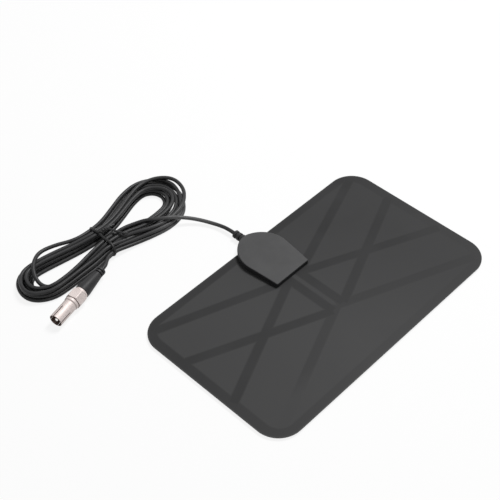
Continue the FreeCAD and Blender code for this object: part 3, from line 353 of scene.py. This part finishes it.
# The lead. Nearly three metres of thin round coaxial cable in a soft black jacket. It leaves the relief,
# lies on the table and is wound in a long flat hank. A tie pinches the hank in the middle, so its turns
# fan out at both ends.
lead_width, lead_length = 2.8, 2.81
lead_exit = Vector((0.0, 71.75, 3.25))
lead_route = ((0, 0, 0), (0, 7.0, 0), (-1.3, 14.2, -0.55), (-3.7, 21.3, -0.75), (-7.2, 28.0, -0.05),
              (-11.9, 34.0, 1.25), (-17.3, 38.9, 2.65))
plug_end = Vector((-87.5, 113.05, 5.5))
tail_route = ((7.4, 4.0, -0.4), (4.3, 1.056, 0), (0, 0, 0))
hank_middle = Vector((-70.0, 133.95, 0.0))
over_the_turns = ((48.6, -21.2, 7.4), (43.8, -18.9, 8.5), (38.9, -15.2, 8.5), (35.0, -11.8, 8.2),
                  (31.7, -8.8, 7.5), (26.6, -5.4, 6.0), (18.3, -3.2, 5.4), (10.3, -2.0, 5.8))
under_the_tie = ((0.5, -12.5, 4.4), (-5.2, -13.4, 4.7))
# Once round the hank, from its middle: the stretch that a station is in, and its outer and inner edge.
stations = (
    ("tie_low", (0, -11.8), (0, -3.4)), ("left_low", (-14, -14.3), (-14, -4.6)),
    ("left_low", (-27, -14.6), (-27, -6.0)), ("left_low", (-40, -14.6), (-40.6, -7.2)),
    ("left_low", (-51.8, -14.4), (-51.0, -6.5)), ("left_end", (-61.2, -9.8), (-55.7, -4.1)),
    ("left_end", (-67.0, -3.0), (-58.4, -0.1)), ("left_end", (-67.6, 5.7), (-58.4, 4.8)),
    ("left_end", (-63.8, 15.0), (-55.8, 9.0)), ("left_high", (-56.2, 20.8), (-50.9, 11.4)),
    ("left_high", (-43.2, 20.2), (-42.2, 10.7)), ("left_high", (-29, 17.2), (-28, 7.9)),
    ("left_high", (-15, 14.0), (-14, 5.4)), ("tie_high", (0, 11.8), (0, 3.6)),
    ("right_high", (13, 14.6), (16, 5.8)), ("right_high", (26.6, 19.8), (30, 10.4)),
    ("right_high", (41.2, 25.4), (42.5, 14.8)), ("right_high", (56.2, 26.6), (53, 16.0)),
    ("right_corner", (68.6, 19.6), (58.6, 12.6)), ("right_corner", (75.4, 9.2), (61.2, 6.8)),
    ("right_end", (74.2, -3.6), (60.4, 1.0)), ("right_end", (67.4, -14.0), (56.6, -3.6)),
    ("right_low", (58.8, -21.2), (50.0, -5.9)), ("right_low", (45.6, -23.4), (39.6, -6.6)),
    ("right_low", (30.8, -20.2), (27, -4.6)), ("right_low", (15, -15.2), (14, -1.8)))
stretches = ("tie_low", "left_low", "left_end", "left_high", "tie_high", "right_high", "right_corner",
             "right_end", "right_low")


def level_turn(height, *shares):
    """The places of a turn that keeps one height all the way round."""
    return tuple((share, height) for share in shares)


# Each turn's place in every stretch: how far from the outer to the inner edge it lies, and how high.
low, middle, high = 1.4, 4.1, 6.8
turns = (
    ((1.0, 6.9), (0.76, 7.1), (0.58, high), (0.68, high), (0.7, high), (1.02, high), (0.86, 6.4),
     (0.5, 6.4), (0.66, 6.2)),
    ((0.62, high), (0.98, 4.3), (0.9, 7.6), (-0.3, 7.4), (0.03, 4.7), (-0.03, 5.0), (-0.04, 5.0),
     (0.32, middle), (0.05, middle)),
    level_turn(middle, 0.18, 0.2, 0.24, 0.34, 0.38, 0.4, 0.46, 0.4, 0.42),
    ((0.25, high), (0.38, high), (0.4, high), (0.36, high), (0.3, high), (0.73, high), (-0.25, 7.2),
     (-0.02, 6.4), (0.22, 6.4)),
    level_turn(middle, 0.55, 0.56, 0.6, 0.72, 0.75, 0.78, 0.93, 0.8, 0.87),
    level_turn(low, 1.0, 1.12, 1.04, 0.98, 1.0, 0.97, 0.94, 1.0, 1.06),
    level_turn(low, 0.66, 0.76, 0.71, 0.66, 0.67, 0.7, 0.62, 0.7, 0.74),
    level_turn(low, 0.33, 0.4, 0.37, 0.33, 0.32, 0.31, 0.25, 0.4, 0.3),
    level_turn(low, 0.0, 0.05, 0.07, 0.0, 0.0, 0.0, 0.06, 0.08, 0.04))
last_place = (-0.1, 4.3)
# The second turn is a short one at the left end, and lies across the others there.
short_turn = 1
short_loop = {3: (-43.2, -8.6, 4.3), 4: (-47.4, -8.3, 4.4), 5: (-51.8, -6.1, 4.7), 6: (-54.3, -2.2, 5.3),
              7: (-54.6, 2.7, 6.5), 8: (-52.4, 9.2, 8.3), 9: (-47.0, 15.9, 9.4), 10: (-38.2, 21.0, 9.0),
              11: (-26.2, 18.8, 8.2), 12: (-13.5, 13.2, 7.2)}
tie_room, smoothing_rounds = 1.0, 2
run_sway, end_sway_share, sway_per_station, sway_per_turn = 0.28, 0.8, 1.3, 2.1
wound = []
for number, places in enumerate(turns):
    following = turns[number + 1][0] if number + 1 < len(turns) else last_place
    here = np.array([*(places[stretches.index(name)] for name, _, _ in stations), following])
    for _ in range(smoothing_rounds):
        here[1:-1] = 0.25 * here[:-2] + 0.5 * here[1:-1] + 0.25 * here[2:]
    for station, (name, outer, inner) in enumerate(stations):
        share, height = here[station]
        spot = Vector(outer).lerp(Vector(inner), share)
        sway = run_sway * math.sin(sway_per_station * station + sway_per_turn * number)
        if name.startswith("tie"):
            height += tie_room
        elif name in ("left_end", "right_end", "right_corner"):
            spot.x += end_sway_share * sway * math.copysign(1.0, spot.x)
        else:
            spot.y += sway
        in_short_loop = number == short_turn and station in short_loop
        wound.append(Vector(short_loop[station]) if in_short_loop else Vector((*spot, height)))
lead_points = [
    *(Vector(p) + lead_exit for p in lead_route), *(Vector(p) + hank_middle for p in over_the_turns),
    *(p + hank_middle for p in wound), *(Vector(p) + hank_middle for p in under_the_tie),
    *(Vector(p) + plug_end for p in tail_route)]


def part_the_strands(points, keep_first, keep_last, rounds=60, samples=4, step=0.3):
    """Moves the points of a wound cord until strands that press into each other lie side by side."""
    points = np.array(points)
    count = len(points)
    rows = []
    for i in range(1, count - 1):
        for sample in range(samples):
            t = (sample + 0.5) / samples
            row = np.zeros(count)
            row[i - 1:i + 2] = (1 - t) ** 2 / 2, (1 - t) * t + 0.5, t ** 2 / 2
            rows.append(row)
    spread = np.array(rows)
    order = np.arange(len(rows))
    far_along = np.abs(np.subtract.outer(order, order)) > 2 * samples
    free = slice(keep_first, count - keep_last)
    for _ in range(rounds):
        line = spread @ points
        apart = line[:, None] - line[None]
        gap = np.linalg.norm(apart, axis=2) + 1e-6
        press = np.where(far_along & (gap < lead_width), (lead_width - gap) / gap, 0.0)
        move = spread.T @ ((press[:, :, None] * apart).sum(1) * step)
        points[free] += move[free]
        points[free, 2] = np.maximum(points[free, 2], low)
    return points


def smooth_line(name, places, resolution):
    """An open smooth curve with those control points, in mm, as an object."""
    curve = bpy.data.curves.new(name, "CURVE")
    curve.dimensions = "3D"
    spline = curve.splines.new("NURBS")
    spline.points.add(len(places) - 1)
    for point, place in zip(spline.points, places):
        point.co = (*(length * MM for length in place), 1.0)
    spline.order_u = 3
    spline.use_endpoint_u = True
    spline.resolution_u = resolution
    line = bpy.data.objects.new(name, curve)
    bpy.context.scene.collection.objects.link(line)
    return line


lead_places = part_the_strands(lead_points, len(lead_route), len(tail_route))
lead = smooth_line("lead", lead_places, resolution=8)
lead.data.bevel_depth = lead_width / 2 * MM
lead.data.bevel_resolution = 5
lead.data.use_fill_caps = True

soft_jacket, jacket_tree, jacket_shader = new_finish("soft_jacket", (0.036, 0.036, 0.037), 0.4,
                                                     specular=0.18)
jacket_skin = grain(jacket_tree, 2.5, 3.0)
jacket_rub = grain(jacket_tree, 0.1, 3.0)
rub_share = remap(jacket_tree, jacket_rub, 0.3, 0.7)
jacket_tone = mix_colours(jacket_tree, rub_share, (0.028, 0.028, 0.029), (0.039, 0.039, 0.04))
jacket_spot = place_of(jacket_tree, scale=(1 / MM, 1 / MM, 1 / MM))
jacket_side, jacket_depth, _ = add(jacket_tree, "ShaderNodeSeparateXYZ", {0: jacket_spot}).outputs
# Painted highlight: the free stretch of lead between the relief and the hank, right of the plug, is painted
# paler as a painted sheen of the light on its top.
past_relief = remap(jacket_tree, jacket_depth, 78.0, 102.0, soft=True)
before_hank = remap(jacket_tree, jacket_depth, 108.0, 122.0, 1.0, 0.0, soft=True)
right_of_plug = remap(jacket_tree, jacket_side, -45.0, -30.0)
painted_sheen_on_free_lead = sum_up(jacket_tree, "MULTIPLY", past_relief, before_hank)
painted_sheen_on_free_lead = sum_up(jacket_tree, "MULTIPLY", painted_sheen_on_free_lead, right_of_plug)
paint(jacket_tree, jacket_shader, painted_sheen_on_free_lead, jacket_tone, (0.095, 0.095, 0.096))
jacket_gloss = remap(jacket_tree, jacket_rub, 0.3, 0.7, 0.34, 0.42)
jacket_tree.links.new(jacket_gloss, jacket_shader.inputs["Roughness"])
raise_surface(jacket_tree, jacket_shader, jacket_skin, 0.02, 0.2)
lead.data.materials.append(soft_jacket)
wear(soft_jacket, "lead_jacket_end", "plug_jacket_end", "antenna_lead", "cable_hank", "plug_tail")

white_core, core_tree, core_shader = new_finish("white_core", (0.85, 0.85, 0.82), 0.45)
core_cloud = grain(core_tree, 1.0, 2.0)
paint(core_tree, core_shader, core_cloud, (0.82, 0.82, 0.79), (0.88, 0.88, 0.85))
wear(white_core, "lead_dielectric_end", "plug_dielectric")

# The tie. A black twist tie, a soft wire in a flat plastic strip. It goes once round both bundles, is
# twisted on top, and its two ends are left standing off to the right.
tie_wide, tie_thick = 1.9, 1.4
twist_start, twist_end = Vector((1.6, 3.4, 10.1)), Vector((7.4, 3.1, 10.5))
twist_turns, twist_radius, twist_steps = 1.5, 0.75, 12
tie_end_one = ((14.2, 2.3, 10.1), (11.6, 2.6, 10.4), (9.2, 3.3, 10.6))
tie_end_two = ((8.6, 1.6, 10.6), (9.7, -1.8, 10.4), (11.8, -6.6, 10.1), (13.2, -9.4, 9.9),
               (15.3, -11.4, 9.6))
tie_loop = ((1.0, 6.6, 10.0), (1.3, 10.4, 9.6), (1.8, 13.8, 7.8), (2.1, 15.2, 4.8), (2.0, 14.2, 1.9),
            (1.7, 10.6, 0.9), (1.0, 5.0, 0.9), (0.0, -1.0, 0.9), (-0.8, -6.0, 0.9), (-1.4, -11.2, 0.9),
            (-1.3, -14.2, 1.8), (-0.5, -15.2, 4.4), (0.1, -14.6, 7.0), (0.6, -11.8, 9.2), (0.9, -8.6, 9.9),
            (0.9, -4.6, 9.9), (0.9, -0.4, 9.6))


def twisted(phase):
    """One of the two strands of the twist, from the loop outwards."""
    strand = []
    for step in range(twist_steps + 1):
        turn = phase + math.tau * twist_turns * step / twist_steps
        spot = twist_start.lerp(twist_end, step / twist_steps)
        strand.append(spot + Vector((0.0, math.cos(turn), math.sin(turn))) * twist_radius)
    return strand


tie_points = (*tie_end_one, *twisted(0.0)[::-1], *tie_loop, *twisted(math.pi), *tie_end_two)
tie_path = smooth_line("tie_path", [Vector(p) + hank_middle for p in tie_points], resolution=6)

coated_strip, strip_tree, strip_shader = new_finish("coated_strip", (0.016, 0.016, 0.016), 0.38,
                                                    specular=0.25)
strip_skin = grain(strip_tree, 2.0, 2.0)
paint(strip_tree, strip_shader, strip_skin, (0.009, 0.009, 0.009), (0.015, 0.015, 0.016))
raise_surface(strip_tree, strip_shader, strip_skin, 0.02, 0.5)

strip_nodes = bpy.data.node_groups.new("strip_along_a_path", "GeometryNodeTree")
strip_nodes.interface.new_socket("Path", in_out="INPUT", socket_type="NodeSocketGeometry")
strip_nodes.interface.new_socket("Width", in_out="INPUT", socket_type="NodeSocketFloat")
strip_nodes.interface.new_socket("Thickness", in_out="INPUT", socket_type="NodeSocketFloat")
strip_nodes.interface.new_socket("Strip", in_out="OUTPUT", socket_type="NodeSocketGeometry")
strip_in = add(strip_nodes, "NodeGroupInput").outputs
strip_size = add(strip_nodes, "ShaderNodeCombineXYZ",
                 {0: strip_in["Width"], 1: strip_in["Thickness"], 2: 1.0})
strip_round = add(strip_nodes, "GeometryNodeCurvePrimitiveCircle", {"Resolution": 14, "Radius": 0.5})
strip_section = add(strip_nodes, "GeometryNodeTransform",
                    {"Geometry": strip_round.outputs[0], "Scale": strip_size.outputs[0]})
strip_body = add(strip_nodes, "GeometryNodeCurveToMesh",
                 {"Curve": strip_in["Path"], "Profile Curve": strip_section.outputs[0], "Fill Caps": True})
strip_smooth = add(strip_nodes, "GeometryNodeSetShadeSmooth", {"Geometry": strip_body.outputs[0]})
strip_real = add(strip_nodes, "GeometryNodeRealizeInstances", {"Geometry": strip_smooth.outputs[0]})
strip_done = add(strip_nodes, "GeometryNodeSetMaterial",
                 {"Geometry": strip_real.outputs[0], "Material": coated_strip})
add(strip_nodes, "NodeGroupOutput", {"Strip": strip_done.outputs[0]})


def made_by_nodes(source, nodes, name, sizes):
    """The plain mesh that a node tree makes of an object, as a new object; the source goes."""
    modifier = source.modifiers.new(nodes.name, "NODES")
    modifier.node_group = nodes
    for socket in nodes.interface.items_tree:
        if socket.in_out == "INPUT" and socket.name in sizes:
            modifier[socket.identifier] = sizes[socket.name]
    mesh = bpy.data.meshes.new_from_object(source.evaluated_get(bpy.context.evaluated_depsgraph_get()))
    mesh.name = name
    piece = bpy.data.objects.new(name, mesh)
    bpy.context.scene.collection.objects.link(piece)
    bpy.data.objects.remove(source)
    return piece


tie = made_by_nodes(tie_path, strip_nodes, "tie", {"Width": tie_wide * MM, "Thickness": tie_thick * MM})
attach(tie, "root")
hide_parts("twist_tie")

# The plug. A push-in aerial plug of nickel-plated brass: a slotted sleeve with a flange is screwed to the
# nut on the lead's end, and a bright pin stands in an insulator inside the sleeve. The insulator and the
# sleeve's inside are painted dark brown as painted shade, and the seams between the parts get painted
# shade.
plug_turn = math.radians(193.8)
plug_way = Vector((math.cos(plug_turn), math.sin(plug_turn), 0.0))
# Each seam: how far along the plug it is, how far its painted shade reaches, and how strong the painted
# shade is.
plug_seams = ((25.0, 0.35, 0.45), (33.0, 0.4, 0.85), (35.3, 0.5, 0.5))
sleeve_bore_shade_radius, bore_shade_blur = 4.6, 0.1
seam_shade_colour, bore_shade_colour = (0.1, 0.065, 0.055), (0.1, 0.062, 0.05)
plate_metal = 0.55


def nickel_plate(name, bore_shade_radius=None):
    """Nickel plate with painted shade in the plug's seams, and, nearer its axis than the given radius in
    mm, dull and painted dark as the shade inside the bore.
    """
    material, tree, shader = new_finish(name, (0.6, 0.535, 0.515), 0.58, plate_metal)
    spot = add(tree, "ShaderNodeTexCoord").outputs["Object"]
    from_end = vector_sum(tree, "SUBTRACT", spot, plug_end * MM)
    along = vector_measure(tree, "DOT_PRODUCT", from_end, plug_way)
    haze = grain(tree, 0.25, 2.0)
    tone = mix_colours(tree, remap(tree, haze, 0.3, 0.7), (0.62, 0.55, 0.53), (0.56, 0.495, 0.475))
    # Painted shade: the plate is darkened towards a brown shade colour at each seam between the plug's
    # parts.
    for place, reach, strength in plug_seams:
        away = sum_up(tree, "ABSOLUTE", sum_up(tree, "SUBTRACT", along, place * MM))
        seam_shade = remap(tree, away, 0.0, reach * MM, strength, 0.0, soft=True)
        tone = mix_colours(tree, seam_shade, tone, seam_shade_colour)
    # Painted shade: within the given radius the sleeve's inside is painted dark brown and not metal, as the
    # shade deep in the bore.
    if bore_shade_radius is not None:
        on_axis = add(tree, "ShaderNodeVectorMath", {0: plug_way, "Scale": along}, operation="SCALE")
        off_axis = vector_measure(tree, "DISTANCE", from_end, on_axis.outputs[0])
        bore_shade_share = remap(tree, off_axis, bore_shade_radius * MM, (bore_shade_radius + bore_shade_blur) * MM, 1.0, 0.0)
        tone = mix_colours(tree, bore_shade_share, tone, bore_shade_colour)
        metal = sum_up(tree, "MULTIPLY_ADD", bore_shade_share, -plate_metal, plate_metal)
        tree.links.new(metal, shader.inputs["Metallic"])
    tree.links.new(tone, shader.inputs["Base Color"])
    tree.links.new(remap(tree, haze, 0.3, 0.7, 0.54, 0.64), shader.inputs["Roughness"])
    raise_surface(tree, shader, grain(tree, 1.2, 3.0), 0.02, 0.25)
    return material


wear(nickel_plate("bright_nickel"), "connector_ferrule", "connector_nut")
wear(nickel_plate("sleeve_nickel", sleeve_bore_shade_radius), "adapter_shell")

silvered_pin, pin_tree, pin_shader = new_finish("silvered_pin", (0.94, 0.92, 0.89), 0.25, 1.0)
pin_haze = grain(pin_tree, 1.0, 2.0)
paint(pin_tree, pin_shader, pin_haze, (0.97, 0.95, 0.92), (0.9, 0.88, 0.85))
wear(silvered_pin, "adapter_pin")

# Painted shade: the insulator is painted dark brown, the tone of the shade deep in the sleeve's mouth.
insulator_in_painted_shade, insulator_tree, insulator_shader = new_finish("insulator_in_painted_shade", (0.06, 0.038, 0.03), 0.5)
insulator_skin = grain(insulator_tree, 2.0, 2.0)
paint(insulator_tree, insulator_shader, insulator_skin, (0.1, 0.062, 0.05), (0.13, 0.082, 0.066))
wear(insulator_in_painted_shade, "adapter_insulator")

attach(lead, "root")
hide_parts("antenna_lead", "cable_hank", "plug_tail")
